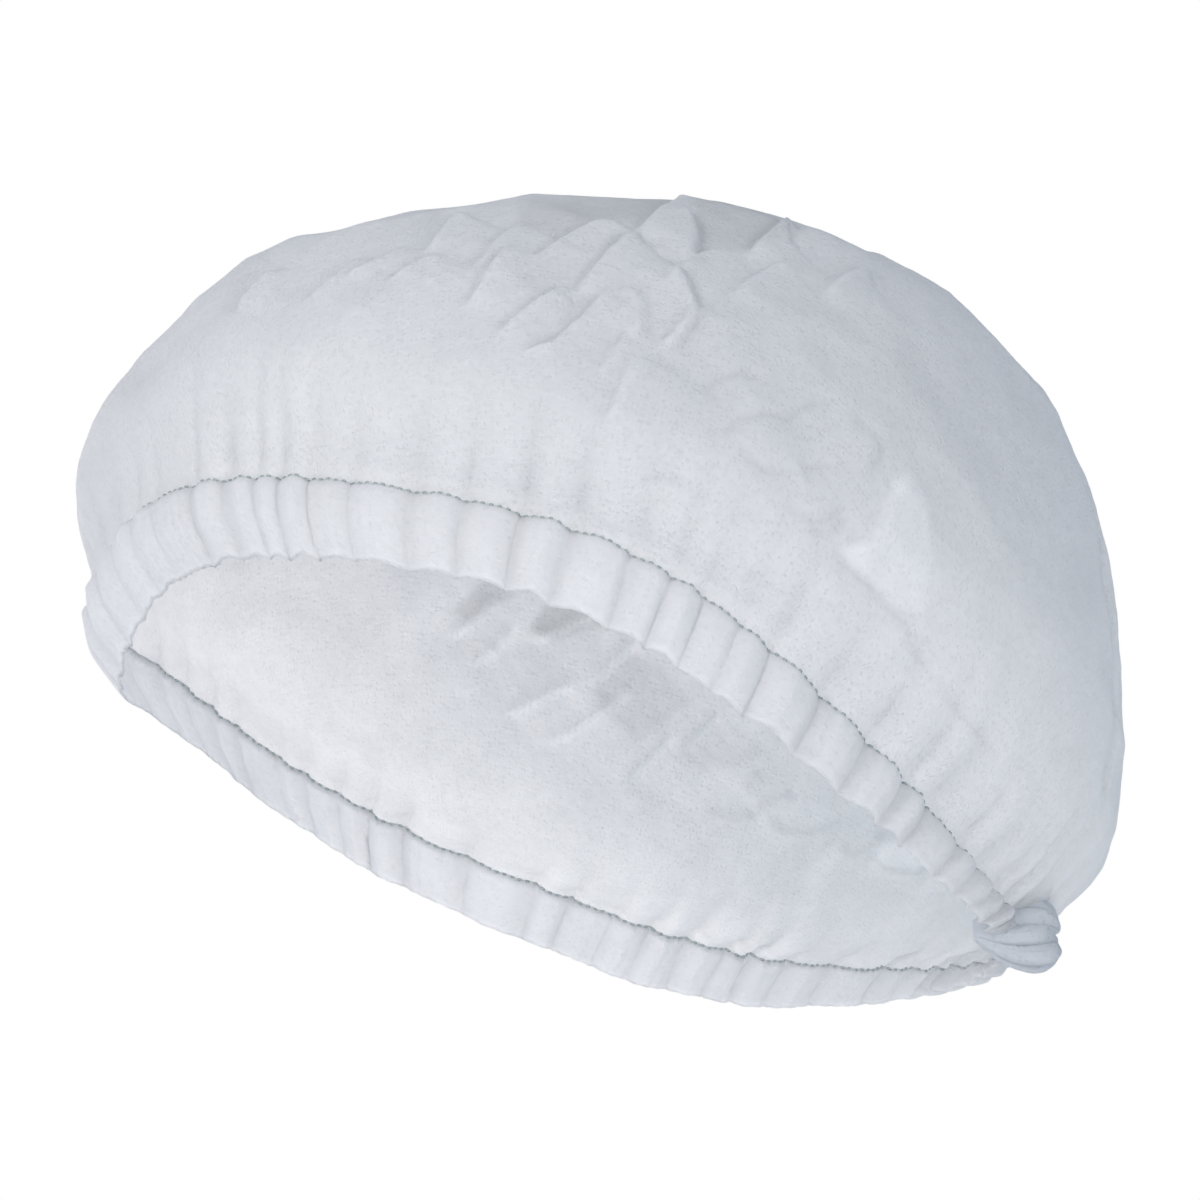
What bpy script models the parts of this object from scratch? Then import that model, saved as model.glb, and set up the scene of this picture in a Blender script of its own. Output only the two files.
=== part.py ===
"""Disposable hair cover cap, as worn: a puffed crown, a ruffled hem in two halves and a gathered knot behind.

Metres, +Z up. The origin is the centre of the head opening. The front is towards -X, the back towards +X
and the wearer's left towards -Y. The pieces are made upright over a level opening, and the empty worn_tilt
leans them back as a head wears them.
"""
from collections import namedtuple
from math import cos, pi, radians, sin, tau

import bmesh
import bpy
import numpy as np

# Driving dimensions, in metres
RIM_LENGTH = 0.211
RIM_WIDTH = 0.151
BAND_HEIGHT = 0.0172
FRONT_FLARE = 0.0145
SIDE_FLARE = 0.005
BACK_FLARE = 0.004
EDGE_LIFT = 0.0135
CROWN_LENGTH = 0.255
CROWN_FORWARD = 0.0055
CROWN_WIDTH = 0.192
CROWN_HEIGHT = 0.154
CROWN_LEAN = 0.010
CROWN_WALL = 0.0012
BAND_WALL = 0.0016
SEAM_GAP = 0.0003
KNOT_WIDTH = 0.015
KNOT_HEIGHT = 0.018
KNOT_DEPTH = 0.0155
GATHER_PITCH = 0.012
GATHER_DEPTH = 0.0032
GATHER_REACH = 0.024
PLEAT_PITCH = 0.021
PLEAT_DEPTH = 0.0026

# Angles and plain numbers that shape the outline
WEAR_TILT = radians(18.0)
BACK_POINT = 0.50
BACK_PINCH = 0.72
PINCH_POWER = 2.2
FULLEST_AT = 0.18
TOP_BACK_SET = 0.12
ARCH_STEPS = 7
# climb x (1 - climb)^2 is 4/27 at its most, so this brings it to 1
LEAN_PEAK = 27 / 4

# How far the free edge rides above a flat oval: high over the forehead's corners, level at the temples and
# low behind the ears. turn is the share of a full turn from the front, lift a share of EDGE_LIFT.
EdgeRow = namedtuple("EdgeRow", "turn lift")
EDGE_ROWS = (
    EdgeRow(turn=0.00, lift=0.00),
    EdgeRow(turn=0.03, lift=0.50),
    EdgeRow(turn=0.07, lift=0.96),
    EdgeRow(turn=0.10, lift=1.00),
    EdgeRow(turn=0.18, lift=0.78),
    EdgeRow(turn=0.24, lift=0.66),
    EdgeRow(turn=0.29, lift=0.30),
    EdgeRow(turn=0.33, lift=0.00),
    EdgeRow(turn=0.40, lift=-0.22),
    EdgeRow(turn=0.46, lift=-0.20),
    EdgeRow(turn=0.50, lift=0.00),
)
# The hem from its free edge to the seam: rise is a share of the hem's height, swell of its flare.
BandRow = namedtuple("BandRow", "rise swell")
BAND_ROWS = (
    BandRow(rise=0.00, swell=0.00),
    BandRow(rise=0.45, swell=0.62),
    BandRow(rise=0.88, swell=1.00),
    BandRow(rise=1.00, swell=1.00),
)
# The least room between an end of half the hem and its next column, as a share of a column
END_ROOM = 0.3
# The crown from the seam to its fullest ring. rise is a share of the height between them, the next three
# of the growth in plan, and gather of the gathers' depth.
LowerRow = namedtuple("LowerRow", "rise front back side gather")
LOWER_ROWS = (
    LowerRow(rise=0.00, front=0.00, back=0.00, side=0.00, gather=1.00),
    LowerRow(rise=0.12, front=0.03, back=0.10, side=0.05, gather=1.00),
    LowerRow(rise=0.36, front=0.20, back=0.60, side=0.50, gather=0.85),
    LowerRow(rise=0.66, front=0.75, back=0.88, side=0.84, gather=0.60),
    LowerRow(rise=1.00, front=1.00, back=1.00, side=1.00, gather=0.40),
)
# The dome above the fullest ring. rise is a share of the height above it, the rest are shares of the
# fullest reach.
UpperRow = namedtuple("UpperRow", "rise front back side")
UPPER_ROWS = (
    UpperRow(rise=0.16, front=0.990, back=0.970, side=0.985),
    UpperRow(rise=0.32, front=0.940, back=0.920, side=0.945),
    UpperRow(rise=0.48, front=0.855, back=0.860, side=0.885),
    UpperRow(rise=0.62, front=0.740, back=0.795, side=0.810),
    UpperRow(rise=0.75, front=0.590, back=0.720, side=0.700),
    UpperRow(rise=0.86, front=0.410, back=0.620, side=0.560),
)
# The knot from its neck between the ends of the hem to its outer end. along is a share of KNOT_DEPTH,
# width and height are shares of its own, drop a share of its height below the neck, and lobe the depth of
# its pleats.
KnotRow = namedtuple("KnotRow", "along width height drop lobe")
KNOT_ROWS = (
    KnotRow(along=0.00, width=0.38, height=0.22, drop=0.00, lobe=0.00),
    KnotRow(along=0.18, width=0.42, height=0.24, drop=0.00, lobe=0.00),
    KnotRow(along=0.34, width=0.46, height=0.26, drop=0.02, lobe=0.04),
    KnotRow(along=0.46, width=0.72, height=0.52, drop=0.18, lobe=0.12),
    KnotRow(along=0.62, width=0.96, height=0.86, drop=0.23, lobe=0.17),
    KnotRow(along=0.82, width=1.00, height=1.00, drop=0.20, lobe=0.20),
    KnotRow(along=0.95, width=0.84, height=0.86, drop=0.20, lobe=0.22),
    KnotRow(along=1.00, width=0.58, height=0.62, drop=0.20, lobe=0.22),
)
KNOT_LOBES = 8
KNOT_COLUMNS = 32
KNOT_LOBE_START = 0.6
KNOT_LOBE_UNLIKE = 0.2

# Gathers at the seam. Each has a sharp ridge, a slope and a valley, one value for each of its columns. Its
# height is GATHER_MEAN plus two waves over the gathers' numbers, and two slow drifts, in shares of a turn,
# set it aside.
Wave = namedtuple("Wave", "size pace start")
Drift = namedtuple("Drift", "share times")
LEAST_PAIRS = 8
GATHER_SHAPE = (1.0, -0.15, -0.85)
COLUMNS_PER_GATHER = len(GATHER_SHAPE)
GATHER_MEAN = 0.72
GATHER_HEIGHTS = (Wave(size=0.28, pace=2.3, start=0.0), Wave(size=0.18, pace=0.9, start=1.0))
GATHER_DRIFTS = (Drift(share=0.0045, times=7), Drift(share=0.0030, times=13))
# Above the seam they keep their depth for this share of GATHER_REACH and then die away
GATHER_KEEP = 0.4

# Pleats over the top: how far their planes lean with height, the share of a pitch that drops back, how much
# each strays in pitches, and the shares of the crown's height at which they start and over which they grow
PLEAT_RAKE = 0.1
PLEAT_DROP = 0.3
PLEAT_STRAY = (Wave(size=0.35, pace=1.3, start=0.0), Wave(size=0.20, pace=2.9, start=1.0))
PLEAT_START = 0.42
PLEAT_GROW = 0.30

# Crumples of the crown: each is a groove between two points, with its bank raised on one side. turn is the
# share of a full turn from the front round the wearer's left, rise the share of the crown's height, depth
# in pleat depths. A bank lies BANK_AWAY widths off, and TURN_STRETCH crown widths are as long as a full
# turn seems from the side.
TURN_STRETCH = 1.6
BANK_AWAY = 1.6
BANK_HIGH = 0.5
BANK_LOW = 0.2
Crumple = namedtuple("Crumple", "turn_a rise_a turn_b rise_b depth width")
CRUMPLES = (
    Crumple(turn_a=0.315, rise_a=0.62, turn_b=0.375, rise_b=0.66, depth=1.0, width=0.030),
    Crumple(turn_a=0.345, rise_a=0.50, turn_b=0.395, rise_b=0.30, depth=1.5, width=0.034),
    Crumple(turn_a=0.395, rise_a=0.52, turn_b=0.440, rise_b=0.36, depth=-1.4, width=0.040),
    Crumple(turn_a=0.080, rise_a=0.58, turn_b=0.045, rise_b=0.80, depth=1.2, width=0.050),
    Crumple(turn_a=0.685, rise_a=0.50, turn_b=0.610, rise_b=0.66, depth=1.1, width=0.036),
    Crumple(turn_a=0.560, rise_a=0.58, turn_b=0.620, rise_b=0.34, depth=1.3, width=0.040),
    Crumple(turn_a=0.900, rise_a=0.66, turn_b=0.960, rise_b=0.50, depth=1.1, width=0.040),
)

Ring = namedtuple("Ring", "height front back side gather")


def clear_scene():
    for item in list(bpy.data.objects):
        bpy.data.objects.remove(item, do_unlink=True)


def edge_ring():
    """The free edge of the hem, which is the head opening."""
    return Ring(0.0, RIM_LENGTH / 2, RIM_LENGTH / 2, RIM_WIDTH / 2, 1.0)


def seam_ring():
    """The stitch line at the top of the hem."""
    edge = edge_ring()
    return Ring(BAND_HEIGHT, edge.front + FRONT_FLARE, edge.back + BACK_FLARE, edge.side + SIDE_FLARE, 1.0)


def full_ring():
    """The fullest ring of the crown."""
    height = mix(BAND_HEIGHT, CROWN_HEIGHT, FULLEST_AT)
    front = CROWN_LENGTH / 2 + CROWN_FORWARD
    back = CROWN_LENGTH / 2 - CROWN_FORWARD
    return Ring(height, front, back, CROWN_WIDTH / 2, LOWER_ROWS[-1].gather)


def mix(a, b, share):
    return a + (b - a) * share


def wave_sum(waves, place):
    return sum(wave.size * sin(wave.pace * place + wave.start) for wave in waves)


def crown_rings():
    """The crown's rings from just above the seam to the last one below the top."""
    seam = seam_ring()
    full = full_ring()
    rings = []
    for row in LOWER_ROWS:
        reach = [mix(low, high, share) for low, high, share in zip(seam[1:4], full[1:4], row[1:4])]
        rings.append(Ring(mix(seam.height + SEAM_GAP, full.height, row.rise), *reach, row.gather))
    for row in UPPER_ROWS:
        reach = [share * high for share, high in zip(row[1:4], full[1:4])]
        rings.append(Ring(mix(full.height, CROWN_HEIGHT, row.rise), *reach, 0.0))
    return rings


def gather_count():
    """Whole gathers round the rim, an even number so that each half of the hem has the same."""
    girth = pi * (RIM_LENGTH + RIM_WIDTH) / 2
    return 2 * max(LEAST_PAIRS, round(girth / GATHER_PITCH / 2))


def column_turn(column):
    """A column's place round the cap, with gathers of unlike width. Columns 0 and half way don't drift."""
    share = column / (gather_count() * COLUMNS_PER_GATHER)
    drift = sum(row.share * sin(row.times * tau * share) for row in GATHER_DRIFTS)
    return share + drift * sin(tau * share) ** 2


def gather_wave(column):
    """How far a column stands out or in, in half gather depths. No two gathers are of the same height."""
    gather, place = divmod(column, COLUMNS_PER_GATHER)
    return GATHER_SHAPE[place] * (GATHER_MEAN + wave_sum(GATHER_HEIGHTS, gather))


def ring_point(ring, turn):
    """A point of a ring: pointed behind, riding with the edge near the rim and pinched low at the knot."""
    angle = tau * turn
    lead = cos(angle)
    behind = max(0.0, -lead)
    reach = ring.front if lead > 0 else ring.back
    climb = max(0.0, ring.height - BAND_HEIGHT) / (CROWN_HEIGHT - BAND_HEIGHT)
    fade = (1.0 - climb) ** 2
    lift = EDGE_LIFT * np.interp(min(turn, 1.0 - turn), *zip(*EDGE_ROWS)) * fade
    pinch = BACK_PINCH * behind ** PINCH_POWER * min(ring.height, BAND_HEIGHT) * fade
    lean = CROWN_LEAN * max(0.0, lead) * LEAN_PEAK * climb * fade
    width = ring.side * sin(angle) * (1.0 - BACK_POINT * behind ** 2 * fade)
    return np.array((-reach * lead, -width, ring.height + lift - pinch + lean))


def outward(point, full):
    """The way out of the dome at a point: level below the fullest ring and rounding over above it."""
    rise = max(0.0, point[2] - full.height) / (CROWN_HEIGHT - full.height) ** 2
    way = np.array((point[0] / (CROWN_LENGTH / 2) ** 2, point[1] / (CROWN_WIDTH / 2) ** 2, rise))
    return way / np.linalg.norm(way)


def pleat_wave(point):
    """Shingled pleats in upright planes across the crown, each rising slowly and dropping back behind."""
    place = (point[0] - PLEAT_RAKE * point[2]) / PLEAT_PITCH
    share = (place + wave_sum(PLEAT_STRAY, place)) % 1.0
    return 2.0 * min(share / (1.0 - PLEAT_DROP), (1.0 - share) / PLEAT_DROP) - 1.0


def crumple_depth(turn, rise):
    """How far the crumples push the cloth in at a place on the crown."""
    depth = 0.0
    spread = CROWN_WIDTH / CROWN_HEIGHT * TURN_STRETCH
    for fold in CRUMPLES:
        run = np.array(((fold.turn_b - fold.turn_a) * spread, fold.rise_b - fold.rise_a))
        here = np.array(((turn - fold.turn_a) * spread, rise - fold.rise_a))
        along = min(1.0, max(0.0, here @ run / (run @ run)))
        away = np.hypot(*(here - along * run)) / fold.width
        side = run[0] * here[1] - run[1] * here[0]
        bank = (BANK_HIGH if side > 0 else BANK_LOW) * np.exp(-(away - BANK_AWAY) ** 2)
        depth += fold.depth * (np.exp(-away ** 2) - bank)
    return depth


def crown_relief(point, turn, column_wave, gather, full):
    """How far the crown stands out from its smooth form at a point."""
    climb = (point[2] - BAND_HEIGHT) / GATHER_REACH
    folds = GATHER_DEPTH / 2 * column_wave * gather * np.exp(-max(0.0, climb - GATHER_KEEP))
    rise = point[2] / CROWN_HEIGHT
    over = min(1.0, max(0.0, (rise - PLEAT_START) / PLEAT_GROW))
    pleats = PLEAT_DEPTH / 2 * pleat_wave(point) * over
    return folds + pleats - PLEAT_DEPTH * crumple_depth(turn, rise)


def mesh_object(name, points, faces):
    mesh = bpy.data.meshes.new(name)
    mesh.from_pydata([tuple(point) for point in points], [], faces)
    mesh.validate()
    work = bmesh.new()
    work.from_mesh(mesh)
    bmesh.ops.recalc_face_normals(work, faces=work.faces)
    work.to_mesh(mesh)
    work.free()
    mesh.shade_smooth()
    item = bpy.data.objects.new(name, mesh)
    return item


def add_wall(item, wall):
    """Gives an open sheet its thickness, half to each side."""
    solidify = item.modifiers.new("wall", "SOLIDIFY")
    solidify.thickness = wall
    solidify.offset = 0.0
    solidify.use_rim = True


def strip_faces(rows, columns, closed):
    """Quads between neighbouring rows of a grid whose points are numbered row by row."""
    faces = []
    for row in range(rows - 1):
        for column in range(columns if closed else columns - 1):
            right = (column + 1) % columns
            low = row * columns
            high = low + columns
            faces.append((low + column, low + right, high + right, high + column))
    return faces


def make_crown():
    """The bag: rings from the seam up, closed over the top by arches from the left side to the right."""
    rings = crown_rings()
    full = full_ring()
    columns = gather_count() * COLUMNS_PER_GATHER
    points = []
    for ring in rings:
        for column in range(columns):
            turn = column_turn(column)
            point = ring_point(ring, turn)
            relief = crown_relief(point, turn, gather_wave(column), ring.gather, full)
            points.append(point + relief * outward(point, full))
    faces = strip_faces(len(rings), columns, closed=True)
    top_arches(points, faces, rings[-1], columns, full)
    crown = mesh_object("crown", points, faces)
    add_wall(crown, CROWN_WALL)
    return crown


def top_arches(points, faces, last, columns, full):
    """Closes the crown above its last ring with one arch for each pair of columns that face each other."""
    first = len(points) - columns
    half = columns // 2
    left = [first + column for column in range(half + 1)]
    right = [first + (columns - column) % columns for column in range(half + 1)]
    crest = CROWN_HEIGHT - last.height
    rows = [[left[0]] * (ARCH_STEPS + 1)]
    for column in range(1, half):
        near = ring_point(last, column_turn(column))
        far = ring_point(last, column_turn(columns - column))
        row = [left[column]]
        for step in range(1, ARCH_STEPS):
            share = step / ARCH_STEPS
            point = mix(near, far, share)
            place = point[0] / (last.back if point[0] > 0 else last.front)
            room = max(0.0, 1.0 - place ** 2 - (point[1] / last.side) ** 2)
            point[2] += crest * room * (1.0 + TOP_BACK_SET * place)
            relief = PLEAT_DEPTH / 2 * pleat_wave(point)
            points.append(point + relief * outward(point, full))
            row.append(len(points) - 1)
        row.append(right[column])
        rows.append(row)
    rows.append([left[half]] * (ARCH_STEPS + 1))
    for back, ahead in zip(rows, rows[1:]):
        for step in range(ARCH_STEPS):
            corners = (back[step], back[step + 1], ahead[step + 1], ahead[step])
            faces.append(tuple(dict.fromkeys(corners)))


def knot_turn():
    """The share of a turn from the back centre at which each half of the hem ends beside the neck."""
    away = KNOT_WIDTH / 2 * KNOT_ROWS[1].width + SEAM_GAP + BAND_WALL / 2
    return away / (tau * RIM_WIDTH / 2 * (1.0 - BACK_POINT))


def band_levels():
    """Rings of the hem from the free edge to the seam, upright just below the stitches."""
    edge = edge_ring()
    seam = seam_ring()
    rings = []
    for row in BAND_ROWS:
        shares = (row.rise, row.swell, row.swell, row.swell, row.swell)
        rings.append(Ring(*(mix(low, high, share) for low, high, share in zip(edge, seam, shares))))
    return rings


def band_columns(side):
    """Turn and gather wave of each column of half the hem, with its two ends cut to their own places."""
    columns = gather_count() * COLUMNS_PER_GATHER
    low = (SEAM_GAP + BAND_WALL / 2) / (tau * RIM_WIDTH / 2)
    high = 0.5 - knot_turn()
    if side == 1:
        low, high = 1.0 - high, 1.0 - low
    room = END_ROOM / columns
    inner = [column for column in range(columns) if low + room < column_turn(column) < high - room]
    places = [(column_turn(column), gather_wave(column)) for column in inner]
    return [(low, gather_wave(inner[0] - 1))] + places + [(high, gather_wave((inner[-1] + 1) % columns))]


def make_band(name, side):
    """One half of the hem. side is 0 for the wearer's left and 1 for the right."""
    full = full_ring()
    places = band_columns(side)
    rings = band_levels()
    points = []
    for ring in rings:
        for turn, wave in places:
            point = ring_point(ring, turn)
            points.append(point + GATHER_DEPTH / 2 * wave * outward(point, full))
    band = mesh_object(name, points, strip_faces(len(rings), len(places), closed=False))
    add_wall(band, BAND_WALL)
    return band


def make_knot():
    """The gathered, welded end of the cloth: a neck between the halves of the hem and a lobed tuft."""
    start = RIM_LENGTH / 2 - BAND_WALL
    level = BAND_HEIGHT * (1.0 - BACK_PINCH) / 2
    points = []
    for row in KNOT_ROWS:
        for column in range(KNOT_COLUMNS):
            angle = tau * column / KNOT_COLUMNS
            unlike = 1.0 + KNOT_LOBE_UNLIKE * (sin(2 * angle) - 1.0)
            swell = 1.0 + row.lobe * unlike * (cos(KNOT_LOBES * angle + KNOT_LOBE_START) - 1.0)
            across = KNOT_WIDTH / 2 * row.width * swell * cos(angle)
            high = KNOT_HEIGHT / 2 * row.height * swell * sin(angle)
            points.append((start + KNOT_DEPTH * row.along, across, level - KNOT_HEIGHT * row.drop + high))
    faces = strip_faces(len(KNOT_ROWS), KNOT_COLUMNS, closed=True)
    last = len(points) - KNOT_COLUMNS
    faces.append(tuple(range(KNOT_COLUMNS)))
    tuck = start + KNOT_DEPTH * KNOT_ROWS[-2].along
    points.append((tuck, 0.0, level - KNOT_HEIGHT * KNOT_ROWS[-1].drop))
    for column in range(KNOT_COLUMNS):
        faces.append((last + column, last + (column + 1) % KNOT_COLUMNS, len(points) - 1))
    return mesh_object("rear_knot", points, faces)


def colour_of(name, colour, roughness):
    material = bpy.data.materials.new(name)
    material.use_nodes = True
    shader = material.node_tree.nodes["Principled BSDF"]
    shader.inputs["Base Color"].default_value = (*colour, 1.0)
    shader.inputs["Roughness"].default_value = roughness
    shader.inputs["Metallic"].default_value = 0.0
    material.diffuse_color = (*colour, 1.0)
    return material


def main():
    clear_scene()
    collection = bpy.data.collections.new("disposable_hair_cover_cap")
    bpy.context.scene.collection.children.link(collection)
    tilt = bpy.data.objects.new("worn_tilt", None)
    tilt.rotation_euler = (0.0, WEAR_TILT, 0.0)
    collection.objects.link(tilt)
    pieces = (
        (make_crown(), (0.80, 0.83, 0.87), 0.85),
        (make_band("left_band", 0), (0.86, 0.88, 0.90), 0.85),
        (make_band("right_band", 1), (0.84, 0.86, 0.89), 0.85),
        (make_knot(), (0.70, 0.74, 0.79), 0.85),
    )
    for item, colour, roughness in pieces:
        item.data.materials.append(colour_of(item.name + "_cloth", colour, roughness))
        collection.objects.link(item)
        item.parent = tilt


main()
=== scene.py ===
"""Looks of the disposable hair cover cap: one thin pleated cloth crown, its ruffled hem, stitches and rear knot.

Metres, +Z up. The cloth is worked out in the upright frame of the part's source, over a level opening, and then
leaned back by WEAR_TILT. Places marked on the photograph are pixels of its 1200 x 1200 frame.
"""

from collections import namedtuple
from math import cos, pi, radians, sin, tau

import bpy
import numpy as np
from mathutils import Matrix, Vector, noise


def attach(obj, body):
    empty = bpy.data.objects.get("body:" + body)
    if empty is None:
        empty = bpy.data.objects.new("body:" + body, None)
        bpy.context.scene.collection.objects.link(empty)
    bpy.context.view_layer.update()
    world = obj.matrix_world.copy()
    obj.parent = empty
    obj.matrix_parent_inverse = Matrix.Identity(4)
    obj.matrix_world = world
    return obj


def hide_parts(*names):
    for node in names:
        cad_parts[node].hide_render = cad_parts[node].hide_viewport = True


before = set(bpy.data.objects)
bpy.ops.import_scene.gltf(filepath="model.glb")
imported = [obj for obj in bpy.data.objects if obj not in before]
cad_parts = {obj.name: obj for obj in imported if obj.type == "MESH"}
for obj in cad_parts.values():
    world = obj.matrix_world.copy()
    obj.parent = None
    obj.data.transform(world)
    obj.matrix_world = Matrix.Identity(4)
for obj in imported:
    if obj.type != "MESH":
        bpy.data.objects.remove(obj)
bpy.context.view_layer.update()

# Driving dimensions, as in the part's source
RIM_LENGTH = 0.211
RIM_WIDTH = 0.151
BAND_HEIGHT = 0.0172
FRONT_FLARE = 0.0145
SIDE_FLARE = 0.005
BACK_FLARE = 0.004
EDGE_LIFT = 0.0135
CROWN_LENGTH = 0.255
CROWN_FORWARD = 0.0055
CROWN_WIDTH = 0.192
CROWN_HEIGHT = 0.154
CROWN_LEAN = 0.010
WEAR_TILT = radians(18.0)
BACK_POINT = 0.50
BACK_PINCH = 0.72
PINCH_POWER = 2.2
FULLEST_AT = 0.18
TOP_BACK_SET = 0.12
LEAN_PEAK = 27 / 4

# The camera of the photograph: where it stands, the point at the middle of its frame, and its frame in pixels
PHOTO_SIZE = 1200
CAMERA_PLACE = Vector((0.0, -1.0715, -0.6438))
CAMERA_AIM = Vector((0.0100, -0.0257, 0.0427))
CAMERA_LENS = 165.6
CAMERA_SENSOR = 36.0

EdgeRow = namedtuple("EdgeRow", "turn lift")
EDGE_ROWS = (
    EdgeRow(turn=0.00, lift=0.00),
    EdgeRow(turn=0.03, lift=0.50),
    EdgeRow(turn=0.07, lift=0.96),
    EdgeRow(turn=0.10, lift=1.00),
    EdgeRow(turn=0.18, lift=0.78),
    EdgeRow(turn=0.24, lift=0.66),
    EdgeRow(turn=0.29, lift=0.30),
    EdgeRow(turn=0.33, lift=0.00),
    EdgeRow(turn=0.40, lift=-0.22),
    EdgeRow(turn=0.46, lift=-0.20),
    EdgeRow(turn=0.50, lift=0.00),
)
# The crown's rings: kind 0 rows grow from the seam to the fullest ring, kind 1 rows close from there to the top
RingRow = namedtuple("RingRow", "kind rise front back side")
RING_ROWS = (
    RingRow(kind=0, rise=0.00, front=0.00, back=0.00, side=0.00),
    RingRow(kind=0, rise=0.12, front=0.03, back=0.10, side=0.05),
    RingRow(kind=0, rise=0.36, front=0.20, back=0.60, side=0.50),
    RingRow(kind=0, rise=0.66, front=0.75, back=0.88, side=0.84),
    RingRow(kind=0, rise=1.00, front=1.00, back=1.00, side=1.00),
    RingRow(kind=1, rise=0.16, front=0.990, back=0.970, side=0.985),
    RingRow(kind=1, rise=0.32, front=0.940, back=0.920, side=0.945),
    RingRow(kind=1, rise=0.48, front=0.855, back=0.860, side=0.885),
    RingRow(kind=1, rise=0.62, front=0.740, back=0.795, side=0.810),
    RingRow(kind=1, rise=0.75, front=0.590, back=0.720, side=0.700),
    RingRow(kind=1, rise=0.86, front=0.410, back=0.620, side=0.560),
)

# How finely the cloth is made: columns and rows of its grids, and samples of the lines that they follow
CROWN_COLUMNS = 620
CROWN_ROWS = 157
HEM_COLUMNS = 1300
HEM_ROWS = 16
RING_STEPS = 16
DOME_STEPS = 61
LIFT_SAMPLES = 1001
SEAM_SAMPLES = 3001
TURN_STEP = 1e-4
# Lengths and areas below these are taken as none
TINY = 1e-9
NO_AREA = 1e-12

# The smooth crown: how far its rings are blurred into each other, as a share of its rows, and where that blur comes
# in and goes out on the way up. The edge's lift is blurred too, in samples.
CROWN_BLUR = 0.034
BLUR_IN = (0.0, 0.10)
BLUR_OUT = (0.84, 0.97)
LIFT_BLUR = 14.0
BLUR_CUT = 3
# A point in the hollow, from which the normals of the cloth point away
CROWN_MIDDLE = (0.0, 0.0, 0.4 * CROWN_HEIGHT)

# A sine wave on the cloth: radians to a unit, height and phase
Wave = namedtuple("Wave", "rate size phase", defaults=(0.0,))

# The gathers: how many, how unevenly they are spaced and sized, how they lean, how narrow their valleys are, and how
# much calmer they are at the front and the back than at the sides
GATHERS = 62
GATHER_DRIFT = (Wave(rate=7 * tau, size=0.30), Wave(rate=13 * tau, size=0.16, phase=1.0),
                Wave(rate=29 * tau, size=0.07))
GATHER_SIZE = 0.62
GATHER_SIZES = (Wave(rate=2.3, size=0.28), Wave(rate=0.9, size=0.20, phase=1.0))
GATHER_LEAN = 1.25
GATHER_VALLEY = 1.7
FRONT_GATHERS = 0.5
FRONT_SPAN = (0.05, 0.20)
BACK_GATHERS = 0.55
BACK_SPAN = (0.42, 0.49)

# Above the seam: how high the gathers and the pinch of the stitches are, how far they reach, where the folds begin,
# and the painted highlight on the gathers' ridges and painted shade in their valleys
SEAM_RUFFLE = 0.0013
SEAM_SWELL = 0.5
SEAM_SWELL_REACH = 0.004
SEAM_PINCH = 0.0011
PINCH_REACH = 0.0028
GATHER_REACH = 0.018
GATHER_FADE = 1.4
FOLDS_BEGIN = 0.016
CROWN_RIDGE_PAINTED_LIGHT = 1.3
CROWN_PAINTED_LIGHT_TOP = 0.35
# Two more rows of the crown lie inside the hem: their shares of the hem's height, and their lengths below the seam
TUCKED_SHARES = (0.90, 0.97)
TUCKED_LENGTHS = (0.0017, 0.0005)

# The hem: its thickness when folded, how it swells outward from the free edge to the stitches, its ruffles and fine
# crimps, the spread of its rows, the puff between its layers, the rounding of its fold, and its scalloped free edge
HEM_FOLD = 0.0011
HEM_SWELL = ((0.0, 0.45, 0.88, 1.0), (0.0, 0.62, 1.0, 1.0))
HEM_RUFFLE = 0.0019
HEM_RUFFLE_ROUND = 0.8
HEM_SWAY = Wave(rate=37 * tau, size=0.0006)
HEM_CRIMPS = 171
HEM_CRIMP = 0.00016
HEM_CRIMP_DRIFT = Wave(rate=11 * tau, size=0.8)
HEM_ROW_SPREAD = 1.15
HEM_PUFF = 0.0009
HEM_ROUNDING = 14.0
SCALLOP = 0.0004
SCALLOP_DRIFT = Wave(rate=19 * tau, size=0.0003)
SCALLOP_REACH = 0.5
# How much brighter the hem is all over, the painted highlight on its ridges and painted shade in its valleys, the
# painted highlight at its fold, and the painted shade at the stitches
HEM_GAIN = 0.4
HEM_RIDGE_PAINTED_LIGHT = 1.5
HEM_PAINTED_LIGHT_TOP = 0.3
HEM_FOLD_HIGHLIGHT = 1.2
HEM_SEAM_PAINTED_SHADE = 1.0
HEM_GAIN_REACH = 0.05
# The flat map of the hem: its fullness, and the distance between its rows
HEM_FULLNESS = 1.15
HEM_ROW_STEP = 0.0011

MM = 0.001

# Drawing folds: steps along a path in pixels and in metres, and the grid points that are taken together under a pixel
PATH_STEP = 5.0
HIDDEN_STEP = 0.004
NEAREST = 4
NEAR_SOFTENING = 0.05
# The profile of a fold: how many reaches away it is cut off, the share of its path over which an end dies away, the
# distance in mm over which it dies away beyond its end and changes from one hand to the other, and the place and
# width in mm of the painted highlight on its edge and the painted shade in its groove, which lies further off and is
# wider beside a painted highlight
FOLD_CUT = 4.5
FOLD_TAPER = 0.22
FOLD_END = 2.0
FOLD_TURN = 0.7
EDGE_PLACE = -0.6
EDGE_WIDTH = 1.0
GROOVE_PLACE = 1.2
GROOVE_WIDTH = 1.0
GROOVE_SPREAD = 0.8
# How alike two normals are on the same wall: at least this for a fold, and over this span for a swelling
FOLD_ALIKE = 0.1
SWELLING_ALIKE = (-0.2, 0.5)

# Bond dots of the cloth to a metre
EMBOSS_SCALE = 720.0
# How much brighter or darker the colour is, for each layer of doubled cloth and of painted highlight and shade
LAYER_AND_PAINTED_LIGHT_STEP = 0.06
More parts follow.
